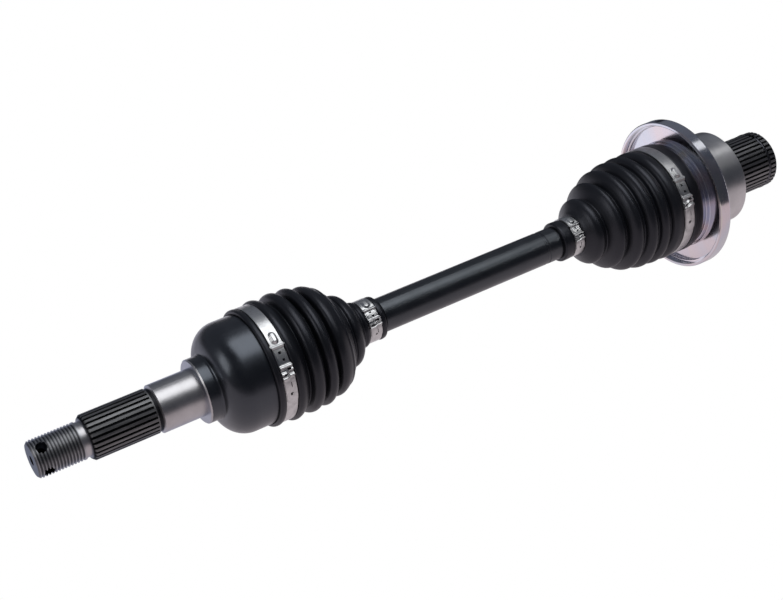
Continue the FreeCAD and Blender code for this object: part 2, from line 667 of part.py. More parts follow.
# ---------------------------------------------------------------- housing with its stub
def inboard_housing():
    house = turned_body("inboard_housing", "housing_mouth_x", [
        # outside: mouth, stepped rings, disc seat and boss
        ("0", "bore_radius+housing_bevel"),
        ("0", "housing_radius-housing_chamfer"),
        ("housing_chamfer", "housing_radius"),
        ("ring_one_start", "housing_radius"),
        ("ring_one_start", "housing_ring_one-ring_one_chamfer"),
        ("ring_one_start+ring_one_chamfer", "housing_ring_one"),
        ("ring_two_start", "housing_ring_one"),
        ("ring_two_start", "housing_ring_two-ring_two_chamfer"),
        ("ring_two_start+ring_two_chamfer", "housing_ring_two"),
        ("disc_seat_start", "housing_ring_two"),
        ("disc_seat_start", "disc_seat_radius"),
        ("disc_seat_end", "disc_seat_radius"),
        ("disc_seat_end+1.0", "boss_radius"),
        ("boss_end-boss_chamfer", "boss_radius"),
        ("boss_end", "boss_radius-boss_chamfer"),
        # stub
        ("boss_end", "stub_neck_radius+stub_neck_round", "stub_neck_round", -1),
        ("boss_end+stub_neck_round", "stub_neck_radius"),
        ("stub_spline_start-1.4", "stub_neck_radius"),
        ("stub_spline_start", "stub_spline_radius"),
        ("stub_clip_start", "stub_spline_radius"),
        ("stub_clip_start", "stub_clip_root"),
        ("stub_clip_end", "stub_clip_root"),
        ("stub_clip_end", "stub_spline_radius"),
        ("stub_end-stub_chamfer", "stub_spline_radius"),
        ("stub_end", "stub_spline_radius-stub_chamfer"),
        # centre hole in the stub's end
        ("stub_end", "stub_centre_mouth"),
        ("stub_end-stub_centre_cone", "stub_centre_pilot"),
        ("stub_end-stub_centre_straight", "stub_centre_pilot"),
        ("stub_end-stub_centre_depth", "0"),
        # blind bore with the retaining ring groove
        ("blind_end", "0"),
        ("blind_cone_end", "blind_cone_radius"),
        ("blind_cyl_end", "bore_radius"),
        ("snap_groove_end", "bore_radius"),
        ("snap_groove_end", "snap_groove_radius"),
        ("snap_groove_start", "snap_groove_radius"),
        ("snap_groove_start", "bore_radius"),
        ("housing_bevel", "bore_radius"),
    ])
    sketch = new_sketch(house, "housing_track_section", "YZ_Plane", offset=("0", "0", "-1"))
    circle(sketch, "ball_pitch_radius", "0", "straight_track_radius")
    track = pocket(house, sketch, "housing_track", "track_end+1")
    polar(house, track, "housing_tracks", "ball_count")
    cut_spline(house, "gearbox_spline", "stub_spline", "stub_spline_root", "stub_spline_radius",
               "stub_spline_start-2", "stub_end-stub_spline_start+3")
    return house


def deflector_disc():
    """A rimmed disc pressed on the housing."""
    return turned_body("deflector_disc", "housing_mouth_x", [
        ("disc_web_front", "disc_seat_radius"),
        ("disc_web_front", "disc_rim_inner-disc_inner_round", "disc_inner_round", -1),
        ("disc_web_front-disc_inner_round", "disc_rim_inner"),
        ("disc_lip+0.5", "disc_rim_inner"),
        ("disc_lip", "disc_rim_inner+0.6"),
        ("disc_lip", "disc_radius-disc_lip_chamfer"),
        ("disc_lip+disc_lip_chamfer", "disc_radius"),
        ("disc_rim_rear-disc_outer_round", "disc_radius", "disc_outer_round", -1),
        ("disc_rim_rear", "disc_radius-disc_outer_round"),
        ("disc_rim_rear", "disc_rim_inner-0.6"),
        ("disc_web_rear", "disc_rim_inner-3"),
        ("disc_web_rear", "disc_hub_radius+1.4"),
        ("disc_seat_end", "disc_hub_radius"),
        ("disc_seat_end", "disc_seat_radius"),
    ])


# ---------------------------------------------------------------- rings
# label, front of the groove, prefix of the ring's sizes in the sheet
FLAT_RINGS = [
    ("outboard_shaft_circlip", "bar_start_x+bar_clip_from_end", "clip"),
    ("inboard_shaft_circlip", "bar_start_x+bar_end-bar_clip_from_end-bar_clip_width", "clip"),
    ("inboard_retaining_ring", "housing_mouth_x+snap_groove_start", "snap"),
]


def flat_ring(label, groove_x, prefix):
    """A flat open ring of rectangular section."""
    inner, outer, thick = prefix + "_inner", prefix + "_outer", prefix + "_thick"
    points = [("0", inner), ("0", outer), (thick, outer), (thick, inner)]
    return turned_body(label, groove_x + "+ring_play", points, prefix + "_arc")


def stub_circlip():
    """An open ring of round wire in the middle of the stub's groove."""
    body = new_body("stub_circlip", "housing_mouth_x+stub_clip_start/2+stub_clip_end/2")
    sketch = new_sketch(body, "stub_ring_wire_section", "XZ_Plane")
    circle(sketch, "0", "stub_ring_radius", "stub_ring_wire")
    revolve(body, sketch, "stub_ring_wound", "stub_ring_arc")
    return body


# ---------------------------------------------------------------- boots: folded rubber sleeves
# (distance from the boot's origin, radius) along the outside and along the inside, both in +X
OUTBOARD_BOOT_OUTSIDE = [
    (3.2, 37.9), (4.0, 38.8), (6.2, 39.0), (7.5, 37.6), (16.0, 37.6), (16.6, 39.4),
    (18.4, 40.2), (20.4, 39.6), (26.5, 36.6), (31.2, 39.9), (32.4, 39.9), (37.2, 36.3),
    (40.2, 39.4), (41.4, 39.4), (47.4, 34.9), (50.6, 36.9), (52.2, 37.1), (57.4, 36.0),
    (64.6, 27.0), (67.4, 24.2), (70.2, 23.8), (73.4, 22.7), (78.2, 16.5), (82.6, 13.6),
    (94.2, 13.6), (94.6, 14.4), (96.4, 14.2), (97.2, 13.4),
]
OUTBOARD_BOOT_INSIDE = [
    (3.2, 37.0), (8.3, 37.0), (9.3, 35.9), (14.4, 35.9), (15.3, 37.0), (18.6, 37.0),
    (26.5, 34.2), (31.8, 37.4), (37.2, 33.9), (40.8, 36.8), (47.4, 32.5), (51.4, 34.7),
    (56.2, 33.6), (63.2, 25.4), (66.6, 21.9), (72.2, 20.6), (76.8, 14.6), (81.4, 11.4),
    (97.2, 11.4),
]
INBOARD_BOOT_OUTSIDE = [
    (0, 13.3), (0.6, 13.9), (2.2, 13.9), (3.2, 13.1), (16.2, 13.1), (16.8, 15.0),
    (20.0, 17.2), (24.0, 23.7), (25.2, 23.7), (30.6, 21.8), (36.0, 31.4), (37.2, 31.4),
    (42.6, 28.6), (48.0, 37.0), (49.2, 37.0), (54.6, 34.2), (59.9, 39.3), (61.1, 39.3),
    (65.8, 36.6), (70.2, 40.1), (71.4, 40.1), (75.8, 37.4), (80.6, 40.1), (83.8, 40.0),
    (85.2, 39.1), (94.6, 39.1), (95.2, 40.2), (102.2, 40.0), (103.2, 39.0),
]
INBOARD_BOOT_INSIDE = [
    (0, 11.4), (16.2, 11.4), (19.0, 15.2), (24.2, 20.9), (25.2, 21.1), (30.8, 19.4),
    (36.2, 28.8), (37.2, 28.8), (42.8, 26.2), (48.2, 34.5), (49.2, 34.6), (54.8, 31.8),
    (60.1, 36.8), (61.1, 36.8), (65.8, 34.2), (70.6, 37.6), (75.8, 35.0), (79.6, 37.3),
    (103.2, 37.3),
]


def boot(label, x, outside, inside):
    return turned_body(label, x, outside + inside[::-1])


# ---------------------------------------------------------------- clamps: crimped steel bands
# label, prefix in the sheet, then the middle of the bump, of the ridges and of the tail,
# in degrees from -Y towards +Z
CLAMPS = [
    ("outboard_large_clamp", "large_a", 63.0, 20.0, -14.0),
    ("outboard_small_clamp", "small_a", 88.0, 1.0, -40.0),
    ("inboard_small_clamp", "small_b", 88.0, 1.0, -40.0),
    ("inboard_large_clamp", "large_b", 63.0, 20.0, -14.0),
]


def clamp(label, prefix, bump_at, ridges_at, tail_at):
    """A closed band with a pressed bump, three crimped ridges and a short overlapping tail."""
    width, inner = prefix + "_width", prefix + "_inner"
    outer = inner + "+band_thick"
    body = turned_body(label, prefix + "_x",
                       [("0", inner), ("0", outer), (width, outer), (width, inner)])

    def degrees(arc_length):
        return math.degrees(VALUES[arc_length] / VALUES[inner])

    def raised(name, middle, arc_length, inset, rise):
        """A raised block, rooted in the band; inset is the share of width left at each side."""
        span = degrees(arc_length)
        # the sweep runs from +Z towards -Y, so it starts half a span above the middle
        sketch = new_sketch(body, "%s_%s_section" % (label, name), "XZ_Plane",
                            turn=90.0 - middle - span / 2)
        low, high = inner + "+band_thick*0.5", outer + "+" + rise
        front, rear = f"{width}*{inset:g}", f"{width}*{1 - inset:g}"
        outline(sketch, [(front, low), (front, high), (rear, high), (rear, low)])
        revolve(body, sketch, "%s_%s" % (label, name), span)

    raised("bump", bump_at, "bump_span", 0.25, "bump_rise")
    for k in (-1, 0, 1):
        raised("ridge_%d" % (k + 2), ridges_at + k * degrees("ridge_pitch"), "ridge_span",
               0.06, "crimp_rise")
    raised("tail", tail_at, "tail_span", 0.12, "band_thick*0.8")
    return body


# ---------------------------------------------------------------- build, check and write
pieces = [outboard_bell()]
for side, centre, first_ball, race_track in JOINTS:
    pieces.append(cage(side, centre, first_ball))
    pieces.append(inner_race(side, centre, first_ball, race_track))
    pieces += balls(side, centre, first_ball)
pieces += [axle_bar(), inboard_housing(), deflector_disc()]
pieces += [flat_ring(*ring) for ring in FLAT_RINGS]
pieces.append(stub_circlip())
pieces.append(boot("outboard_boot", "boot_a_x", OUTBOARD_BOOT_OUTSIDE, OUTBOARD_BOOT_INSIDE))
pieces.append(boot("inboard_boot", "boot_b_x", INBOARD_BOOT_OUTSIDE, INBOARD_BOOT_INSIDE))
pieces += [clamp(*band) for band in CLAMPS]

doc.recompute()
failed = [o.Name for o in doc.Objects if "Invalid" in o.State or "Error" in o.State]
if failed:
    raise RuntimeError("failed objects: " + "; ".join(failed))
for piece in pieces:
    shape = piece.Shape
    if shape.isNull() or not shape.isValid() or len(shape.Solids) != 1:
        raise RuntimeError("bad shape: " + piece.Label)
for piece in pieces:
    piece.Shape.exportStep("parts/%s.step" % piece.Label)
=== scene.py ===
"""A drive axle with a ball joint at each end, lying along X.

The wheel end (bell and stub) is at low X, the gearbox end (housing) at high X, -Y is the front and
+Z is up. This script adds the two folded boots and four crimped clamps, gives every piece its
material, and sets up the floor, the lights and the camera.
Outlines of boots and clamps are in mm; everything in shaders and in the scene is in metres.
"""
import bpy
import bmesh
import math
import numpy as np
from functools import cached_property, partialmethod
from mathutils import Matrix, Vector


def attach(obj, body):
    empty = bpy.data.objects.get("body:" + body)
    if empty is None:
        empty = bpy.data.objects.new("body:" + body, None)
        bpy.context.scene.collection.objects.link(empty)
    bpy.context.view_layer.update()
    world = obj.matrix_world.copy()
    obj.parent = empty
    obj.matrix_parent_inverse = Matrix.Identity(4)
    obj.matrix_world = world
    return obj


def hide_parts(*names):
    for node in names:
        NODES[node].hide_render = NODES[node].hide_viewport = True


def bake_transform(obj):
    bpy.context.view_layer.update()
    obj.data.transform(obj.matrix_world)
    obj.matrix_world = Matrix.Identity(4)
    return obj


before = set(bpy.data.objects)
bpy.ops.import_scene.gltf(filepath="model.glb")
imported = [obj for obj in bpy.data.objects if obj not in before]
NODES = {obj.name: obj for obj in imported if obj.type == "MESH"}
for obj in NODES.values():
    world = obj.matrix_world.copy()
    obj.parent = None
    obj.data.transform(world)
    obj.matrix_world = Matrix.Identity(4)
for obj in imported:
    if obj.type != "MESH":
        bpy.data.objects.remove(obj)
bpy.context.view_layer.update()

from types import SimpleNamespace

MM = 0.001


# ------------------------------------------------------------------ shader writing
class Shader:
    """Writes a procedural material or world as nodes. Frequencies are per metre."""

    def __init__(self, owner, coordinates="Object"):
        owner.use_nodes = True
        self.owner = owner
        self.tree = owner.node_tree
        self.tree.nodes.clear()
        self.coord = self.node("TexCoord").outputs[coordinates]

    def node(self, kind, inputs=None, **settings):
        made = self.tree.nodes.new("ShaderNode" + kind)
        for key, value in settings.items():
            setattr(made, key, value)
        for key, value in (inputs or {}).items():
            self.set(made.inputs[key], value)
        return made

    def set(self, socket, value):
        """Links a socket, or gives it a value; a colour of three numbers gets an alpha of 1."""
        if isinstance(value, bpy.types.NodeSocket):
            self.tree.links.new(value, socket)
        elif isinstance(value, tuple) and len(value) == 3 and len(socket.default_value) == 4:
            socket.default_value = (*value, 1.0)
        else:
            socket.default_value = value

    @cached_property
    def axes(self):
        return list(self.node("SeparateXYZ", {0: self.coord}).outputs)

    x = property(lambda self: self.axes[0])
    y = property(lambda self: self.axes[1])
    z = property(lambda self: self.axes[2])

    # arithmetic
    def math(self, operation, a, b=0.0):
        return self.node("Math", {0: a, 1: b, 2: 0.0}, operation=operation).outputs[0]

    add = partialmethod(math, "ADD")
    sub = partialmethod(math, "SUBTRACT")
    mul = partialmethod(math, "MULTIPLY")
    div = partialmethod(math, "DIVIDE")
    max = partialmethod(math, "MAXIMUM")

    def invert(self, mask):
        return self.sub(1.0, mask)

    def levels(self, value, gain, base):
        return self.add(self.mul(value, gain), base)

    def plus(self, base, mask, amount):
        return self.add(base, self.mul(mask, amount))

    def dot(self, a, b):
        return self.node("VectorMath", {0: a, 1: b}, operation="DOT_PRODUCT").outputs["Value"]

    def vec(self, x, y, z):
        return self.node("CombineXYZ", {0: x, 1: y, 2: z}).outputs[0]

    # masks
    def remap(self, value, lo, hi, start=0.0, end=1.0, interpolation="SMOOTHSTEP"):
        inputs = {"Value": value, "From Min": lo, "From Max": hi, "To Min": start, "To Max": end}
        return self.node("MapRange", inputs, interpolation_type=interpolation).outputs[0]

    def rise(self, value, lo, hi):
        """0 below lo, 1 above hi."""
        return self.remap(value, lo, hi)

    def fall(self, value, lo, hi):
        """1 below lo, 0 above hi."""
        return self.remap(value, lo, hi, 1.0, 0.0)

    def band(self, value, lo, hi, soft):
        """1 between lo and hi, 0 outside."""
        return self.mul(self.rise(value, lo - soft, lo + soft),
                        self.fall(value, hi - soft, hi + soft))

    def edge(self, radius, lo, hi):
        """0 on flats, 1 on convex and concave edges, from the bevelled normal."""
        bevelled = self.node("Bevel", {"Radius": radius}, samples=4).outputs[0]
        plain = self.node("NewGeometry").outputs["Normal"]
        return self.rise(self.invert(self.dot(bevelled, plain)), lo, hi)

    def facing(self):
        return self.node("LayerWeight", {"Blend": 0.5}).outputs["Facing"]

    # place relative to the axle's line
    def radius(self):
        return self.math("SQRT", self.add(self.mul(self.y, self.y), self.mul(self.z, self.z)))

    def away(self):
        """Y and Z of the unit direction away from the axle's line."""
        radius = self.add(self.radius(), 1e-6)
        return self.div(self.y, radius), self.div(self.z, radius)

    def outward(self):
        """Cosine between the surface normal and the direction away from the axle's line."""
        normal = self.node("TexCoord").outputs["Normal"]
        return self.dot(normal, self.vec(0.0, *self.away()))

    # textures
    def noise(self, vector, detail, rough):
        inputs = {"Vector": vector, "Scale": 1.0, "Detail": detail, "Roughness": rough}
        return self.node("TexNoise", inputs).outputs["Fac"]

    def grain(self, frequency, detail, rough):
        """Noise of the same frequency in every direction."""
        scaled = self.node("VectorMath", {0: self.coord, 1: (frequency,) * 3},
                           operation="MULTIPLY").outputs[0]
        return self.noise(scaled, detail, rough)

    def rings(self, along, around, detail, rough):
        """Noise with one frequency along the axle and another round it, with no seam."""
        y, z = self.away()
        place = self.vec(self.mul(self.x, along), self.mul(y, around), self.mul(z, around))
        return self.noise(place, detail, rough)

    def streaks(self, along, across, detail, rough):
        """Noise stretched along X or across it."""
        place = self.vec(self.mul(self.x, along), self.mul(self.y, across),
                         self.mul(self.z, across))
        return self.noise(place, detail, rough)

    # colour and relief
    def mix(self, mask, low, high, blend="MIX"):
        return self.node("Mix", {0: mask, 6: low, 7: high}, data_type="RGBA",
                         blend_type=blend).outputs[2]

    def mix_value(self, mask, low, high):
        return self.node("Mix", {0: mask, 2: low, 3: high}, data_type="FLOAT").outputs[0]

    def tint(self, colour, towards, mask, amount):
        return self.mix(self.mul(mask, amount), colour, towards)

    def ramp(self, value, stops):
        made = self.node("ValToRGB", {0: value})
        elements = made.color_ramp.elements
        while len(elements) < len(stops):
            elements.new(0.5)
        for element, (position, colour) in zip(elements, stops):
            element.position = position
            element.color = (*colour, 1.0)
        return made.outputs[0]

    def bump(self, height, distance, strength, normal=None):
        inputs = {"Height": height, "Distance": distance, "Strength": strength}
        if normal is not None:
            inputs["Normal"] = normal
        return self.node("Bump", inputs).outputs[0]

    # outputs
    def camera_split(self, camera, others):
        """One shader for camera rays, another for all other rays."""
        is_camera = self.node("LightPath").outputs["Is Camera Ray"]
        return self.node("MixShader", {0: is_camera, 1: others, 2: camera}).outputs[0]

    def output(self, kind, surface):
        self.node("Output" + kind, {"Surface": surface})

    def finish(self, colour, roughness, metallic, normal, **more):
        """Ends a material in a Principled shader. Underscores in names stand for spaces."""
        inputs = {"Base Color": colour, "Roughness": roughness, "Metallic": metallic,
                  "Normal": normal}
        inputs.update((key.replace("_", " "), value) for key, value in more.items())
        self.output("Material", self.node("BsdfPrincipled", inputs).outputs[0])
        return self.owner


def new_shader(name):
    return Shader(bpy.data.materials.new(name))


def shade(colour, factor):
    return tuple(min(1.0, c * factor) for c in colour)


# ------------------------------------------------------------------ materials
def rubber_material():
    """Near-black rubber, a little dusty."""
    g = new_shader("boot_rubber")
    cloud = g.grain(38, detail=5, rough=0.6)
    dust = g.grain(210, detail=6, rough=0.65)
    flow = g.rings(along=60, around=5.0, detail=5, rough=0.6)
    black, worn, dusty = (0.0060, 0.0066, 0.0088), (0.0105, 0.0112, 0.0140), (0.035, 0.035, 0.037)
    colour = g.mix(g.rise(cloud, lo=0.35, hi=0.7), black, worn)
    colour = g.tint(colour, dusty, g.rise(dust, lo=0.60, hi=0.85), amount=0.16)
    roughness = g.levels(flow, gain=0.08, base=0.33)
    roughness = g.plus(roughness, g.rise(dust, lo=0.5, hi=0.9), amount=0.10)
    grain = g.grain(2600, detail=3, rough=0.6)
    wave = g.rings(along=240, around=9, detail=4, rough=0.5)
    normal = g.bump(grain, distance=0.00006, strength=0.35)
    normal = g.bump(wave, distance=0.00022, strength=0.12, normal=normal)
    return g.finish(colour, roughness, metallic=0.0, normal=normal,
                    Specular_IOR_Level=0.55, Specular_Tint=(0.86, 0.88, 1.0))


def paint_parts(g, dark, light):
    """Black paint: its clouded colour, its smudges and its orange peel."""
    cloud = g.grain(30, detail=5, rough=0.6)
    smudge = g.grain(75, detail=6, rough=0.62)
    peel = g.grain(900, detail=3, rough=0.5)
    return g.mix(g.rise(cloud, lo=0.35, hi=0.7), dark, light), smudge, peel


def bar_material():
    """Black paint, worn to grey on edges."""
    g = new_shader("bar_paint")
    black, worn = (0.0050, 0.0053, 0.0068), (0.10, 0.10, 0.105)
    colour, smudge, peel = paint_parts(g, black, shade(black, 1.5))
    wear = g.mul(g.edge(radius=0.0004, lo=0.10, hi=0.5), g.rise(smudge, lo=0.50, hi=0.72))
    return g.finish(
        g.tint(colour, worn, wear, amount=0.35),
        g.plus(0.30, g.rise(smudge, lo=0.35, hi=0.8), amount=0.13),
        metallic=g.mul(wear, 0.4),
        normal=g.bump(peel, distance=0.00005, strength=0.35),
        Specular_IOR_Level=0.95, Coat_Weight=0.30, Coat_Roughness=0.30,
        Specular_Tint=(0.82, 0.90, 1.0))


def steel_parts(g, base, roughness, lines, relief, contrast):
    """Turned or ground steel: fine lines round the axle, faint staining and changes of tone.
    Returns colour, roughness and normal."""
    fine = g.rings(along=lines, around=1.1, detail=3, rough=0.65)
    wide = g.rings(along=lines * 0.16, around=1.7, detail=4, rough=0.6)
    stain = g.grain(55, detail=6, rough=0.62)
    dark, light = shade(base, 1 - 2.2 * contrast), shade(base, 1 + contrast)
    colour = g.mix(g.rise(stain, lo=0.32, hi=0.72), dark, light)
    colour = g.tint(colour, dark, g.rise(fine, lo=0.55, hi=0.9), amount=0.35)
    roughness = g.levels(wide, gain=0.10, base=roughness - 0.04)
    roughness = g.plus(roughness, g.rise(stain, lo=0.5, hi=0.85), amount=0.07)
    normal = g.bump(fine, distance=0.00003, strength=relief)
    normal = g.bump(wide, distance=0.00005, strength=relief * 0.6, normal=normal)
    return colour, roughness, normal


def steel_material(name, base, roughness, lines, relief, contrast):
    """Plain steel with brighter edges."""
    g = new_shader(name)
    colour, roughness, normal = steel_parts(g, base, roughness, lines, relief, contrast)
    edge = g.edge(radius=0.0003, lo=0.08, hi=0.4)
    colour = g.tint(colour, shade(base, 1.35), edge, amount=0.4)
    return g.finish(colour, roughness, metallic=1.0, normal=normal)


def spline_streaks(g):
    return g.streaks(along=60, across=1500, detail=4, rough=0.6)


def bell_material():
    """The wheel side forging: bare machined stub, dark rolled spline, ground journal, painted
    collar and bell, and a bare bore behind the boot."""
    g = new_shader("bell_forging")
    x, radius = g.x, g.radius()
    mottle = g.grain(300, detail=5, rough=0.6)
    wavy_x = g.add(x, g.mul(g.sub(mottle, 0.5), 0.0009))     # makes the paint's edge uneven

    # zones
    thread = g.fall(x, lo=-0.0745, hi=-0.0735)
    spline = g.band(x, lo=-0.0738, hi=-0.0284, soft=0.0002)
    outward = g.outward()
    bore = g.mul(g.rise(x, lo=0.0090, hi=0.0094), g.fall(outward, lo=-0.30, hi=-0.10))
    bore = g.max(bore, g.rise(x, lo=0.0521, hi=0.0524))
    # painted shade in the tip's holes: faces turned inward, the centre and a narrow neck are
    # coloured near-black
    tip_hole_shade = g.mul(g.fall(x, lo=-0.0960, hi=-0.0955), g.fall(outward, lo=-0.15, hi=0.0))
    tip_hole_shade = g.max(tip_hole_shade, g.mul(g.fall(x, lo=-0.0980, hi=-0.0975),
                             g.fall(radius, lo=0.0030, hi=0.0032)))
    tip_hole_shade = g.max(tip_hole_shade, g.mul(g.band(x, lo=-0.1045, hi=-0.0971, soft=0.0002),
                             g.fall(radius, lo=0.0102, hi=0.0107)))
    paint = g.mul(g.rise(wavy_x, lo=0.00075, hi=0.0010), g.invert(bore))

    def threaded_end():
        return g.mul(thread, g.fall(x, lo=-0.0775, hi=-0.0770))

    bare, bare_rough, bare_normal = steel_parts(
        g, (0.58, 0.565, 0.57), roughness=0.35, lines=3300.0, relief=0.22, contrast=0.05)

    # threaded end: greyer, with painted shade darkening the roots
    grey, thread_root_shade, dull = (0.50, 0.50, 0.515), (0.10, 0.10, 0.105), (0.22, 0.22, 0.225)
    thread_colour = g.tint(grey, thread_root_shade, g.fall(radius, lo=0.01095, hi=0.01185), amount=0.85)
    thread_colour = g.mix(g.rise(mottle, lo=0.58, hi=0.8), thread_colour, dull)

    # spline: streaked crests, roots painted near-black as shade, and a dark inner end
    streak = spline_streaks(g)
    crest_dark, crest_light = (0.15, 0.15, 0.152), (0.27, 0.27, 0.272)
    spline_root_shade, end = (0.018, 0.018, 0.02), (0.03, 0.03, 0.033)
    spline_colour = g.mix(g.rise(streak, lo=0.35, hi=0.7), crest_dark, crest_light)
    spline_colour = g.mix(g.fall(radius, lo=0.01355, hi=0.01445), spline_colour, spline_root_shade)
    spline_colour = g.mix(g.rise(x, lo=-0.0306, hi=-0.0302), spline_colour, end)

    paint_colour, smudge, peel = paint_parts(
        g, dark=(0.0048, 0.0051, 0.0066), light=(0.0080, 0.0083, 0.0102))

    # the tip's holes get a near-black colour as painted shade
    bore_colour, tip_hole_shade_colour = (0.30, 0.29, 0.28), (0.012, 0.012, 0.013)
    colour = g.mix(threaded_end(), bare, thread_colour)
    colour = g.mix(spline, colour, spline_colour)
    colour = g.mix(g.mul(g.rise(x, lo=0.012, hi=0.013), bore), colour, bore_colour)
    colour = g.mix(paint, colour, paint_colour)
    colour = g.mix(tip_hole_shade, colour, tip_hole_shade_colour)

    paint_rough = g.plus(0.275, g.rise(smudge, lo=0.35, hi=0.8), amount=0.12)
    roughness = g.mix_value(threaded_end(), bare_rough, high=0.40)
    roughness = g.mix_value(spline, roughness, g.plus(0.42, streak, amount=0.16))
    roughness = g.mix_value(paint, roughness, paint_rough)
    roughness = g.mix_value(tip_hole_shade, roughness, high=0.6)

    normal = g.bump(peel, distance=0.00005, strength=g.mul(paint, 0.35), normal=bare_normal)
    scratch = g.grain(1400, detail=4, rough=0.7)
    normal = g.bump(scratch, distance=0.00006, strength=g.mul(g.max(thread, spline), 0.45),
                    normal=normal)
    return g.finish(colour, roughness, metallic=g.invert(paint), normal=normal,
                    Specular_IOR_Level=1.0, Coat_Weight=g.mul(paint, 0.30),
                    Coat_Roughness=0.26, Specular_Tint=(0.78, 0.86, 1.0))


def housing_material():
    """The gearbox side forging: zinc stepped rings and boot seat, satin turned boss, black
    oiled spline."""
    g = new_shader("housing_steel")
    x, radius = g.x, g.radius()
    bare, bare_rough, bare_normal = steel_parts(
        g, (0.66, 0.65, 0.655), roughness=0.32, lines=2100.0, relief=0.35, contrast=0.06)
    zinc = g.fall(x, lo=0.3948, hi=0.3953)
    hue = g.rings(along=22, around=1.6, detail=3, rough=0.5)
    zinc_colour = g.ramp(hue, [
        (0.30, (0.58, 0.54, 0.62)), (0.45, (0.72, 0.63, 0.66)),
        (0.6, (0.60, 0.62, 0.74)), (0.75, (0.72, 0.67, 0.60))])

    spline = g.rise(x, lo=0.4304, hi=0.4308)
    crest_dark, crest_light = (0.17, 0.17, 0.175), (0.32, 0.32, 0.325)
    spline_root_shade_colour = (0.020, 0.020, 0.022)
    spline_colour = g.mix(g.rise(spline_streaks(g), lo=0.4, hi=0.75), crest_dark, crest_light)
    # painted shade: the roots of the spline teeth are coloured near-black
    spline_root_shade = g.mul(g.fall(radius, lo=0.01975, hi=0.0206), g.fall(x, lo=0.4738, hi=0.4742))
    spline_colour = g.mix(spline_root_shade, spline_colour, spline_root_shade_colour)

    colour = g.mix(zinc, bare, zinc_colour)
    colour = g.mix(spline, colour, spline_colour)
    # bright edges, fainter on the spline
    edge = g.edge(radius=0.0004, lo=0.08, hi=0.4)
    colour = g.tint(colour, (0.6, 0.6, 0.6), edge, amount=g.sub(0.55, g.mul(spline, 0.47)))
    roughness = g.mix_value(zinc, bare_rough, high=0.24)
    roughness = g.mix_value(spline, roughness, high=0.42)
    pits = g.grain(1300, detail=4, rough=0.7)
    normal = g.bump(pits, distance=0.00006, strength=g.mul(spline, 0.5), normal=bare_normal)
    return g.finish(colour, roughness, metallic=1.0, normal=normal)


def disc_material():
    """Bright zinc with a thin passivation film, whose pink, gold and blue tones drift over it."""
    g = new_shader("zinc_disc")
    fine = g.rings(along=1800, around=1.0, detail=3, rough=0.6)
    place = g.vec(g.mul(g.radius(), 1500), g.mul(g.x, 40), 0.0)    # fine rings across the face
    ring = g.noise(place, detail=3, rough=0.6)
    drift = g.rings(along=30, around=1.15, detail=3, rough=0.5)
    film = g.ramp(g.plus(g.mul(drift, 0.9), g.facing(), amount=0.35), [
        (0.30, (0.74, 0.74, 0.76)), (0.44, (0.80, 0.74, 0.66)), (0.55, (0.80, 0.66, 0.70)),
        (0.66, (0.66, 0.68, 0.80)), (0.80, (0.76, 0.78, 0.76))])
    zinc, spot_colour, film_share = (0.74, 0.74, 0.75), (0.42, 0.42, 0.44), 0.62
    spots = g.grain(420, detail=6, rough=0.7)
    colour = g.tint(g.mix(film_share, zinc, film), spot_colour,
                    g.rise(spots, lo=0.62, hi=0.80), amount=0.35)
    roughness = g.plus(0.13, g.rise(spots, lo=0.4, hi=0.9), amount=0.12)
    normal = g.bump(ring, distance=0.00003, strength=0.25)
    normal = g.bump(fine, distance=0.00002, strength=0.2, normal=normal)
    return g.finish(colour, roughness, metallic=1.0, normal=normal)


def clamp_material():
    """Strip steel brushed round the axle, stained and slightly dented."""
    g = new_shader("clamp_steel")
    brush = g.streaks(along=5200, across=160, detail=3, rough=0.6)
    stain = g.grain(260, detail=6, rough=0.65)
    clean, stained, edge_colour = (0.70, 0.70, 0.6965), (0.54, 0.54, 0.54), (0.86, 0.86, 0.86)
    colour = g.mix(g.rise(stain, lo=0.35, hi=0.75), clean, stained)
    colour = g.tint(colour, edge_colour, g.edge(radius=0.00025, lo=0.06, hi=0.35), amount=0.4)
    roughness = g.plus(0.31, g.rise(stain, lo=0.35, hi=0.8), amount=0.12)
    normal = g.bump(brush, distance=0.00003, strength=0.35)
    dents = g.grain(480, detail=2, rough=0.5)
    normal = g.bump(dents, distance=0.00018, strength=0.30, normal=normal)
    return g.finish(colour, roughness, metallic=1.0, normal=normal)


def ball_material():
    """Polished steel with a slight haze."""
    g = new_shader("ball_steel")
    haze = g.grain(240, detail=6, rough=0.7)
    fine = g.grain(2600, detail=3, rough=0.6)
    bright, hazy = (0.78, 0.78, 0.80), (0.62, 0.62, 0.63)
    return g.finish(g.mix(g.rise(haze, lo=0.4, hi=0.8), bright, hazy),
                    g.plus(0.06, haze, amount=0.08), metallic=1.0,
                    normal=g.bump(fine, distance=0.00001, strength=0.25))


# ------------------------------------------------------------------ meshes and curves
def on_axle(x, radius, angle):
    """A point in metres; the angle is measured from the front (-Y) upward."""
    return (x * MM, -radius * MM * math.cos(angle), radius * MM * math.sin(angle))


def mesh_object(name, verts, faces, material, sharp):
    """A smooth-shaded object whose edges over `sharp` degrees stay sharp."""
    mesh = bpy.data.meshes.new(name)
    mesh.from_pydata(verts, [], faces)
    mesh.validate()
    mesh.update()
    for polygon in mesh.polygons:
        polygon.use_smooth = True
    mesh.set_sharp_from_angle(angle=math.radians(sharp))
    made = bpy.data.objects.new(name, mesh)
    bpy.context.scene.collection.objects.link(made)
    mesh.materials.append(material)

    work = bmesh.new()
    work.from_mesh(mesh)
    bmesh.ops.recalc_face_normals(work, faces=work.faces)
    work.to_mesh(mesh)
    work.free()
    mesh.update()
    return made


def apart(p, q, gap):
    return abs(p[0] - q[0]) + abs(p[1] - q[1]) > gap


def without_repeats(points, gap):
    kept = []
    for point in points:
        if not kept or apart(point, kept[-1], gap):
            kept.append((float(point[0]), float(point[1])))
    return kept


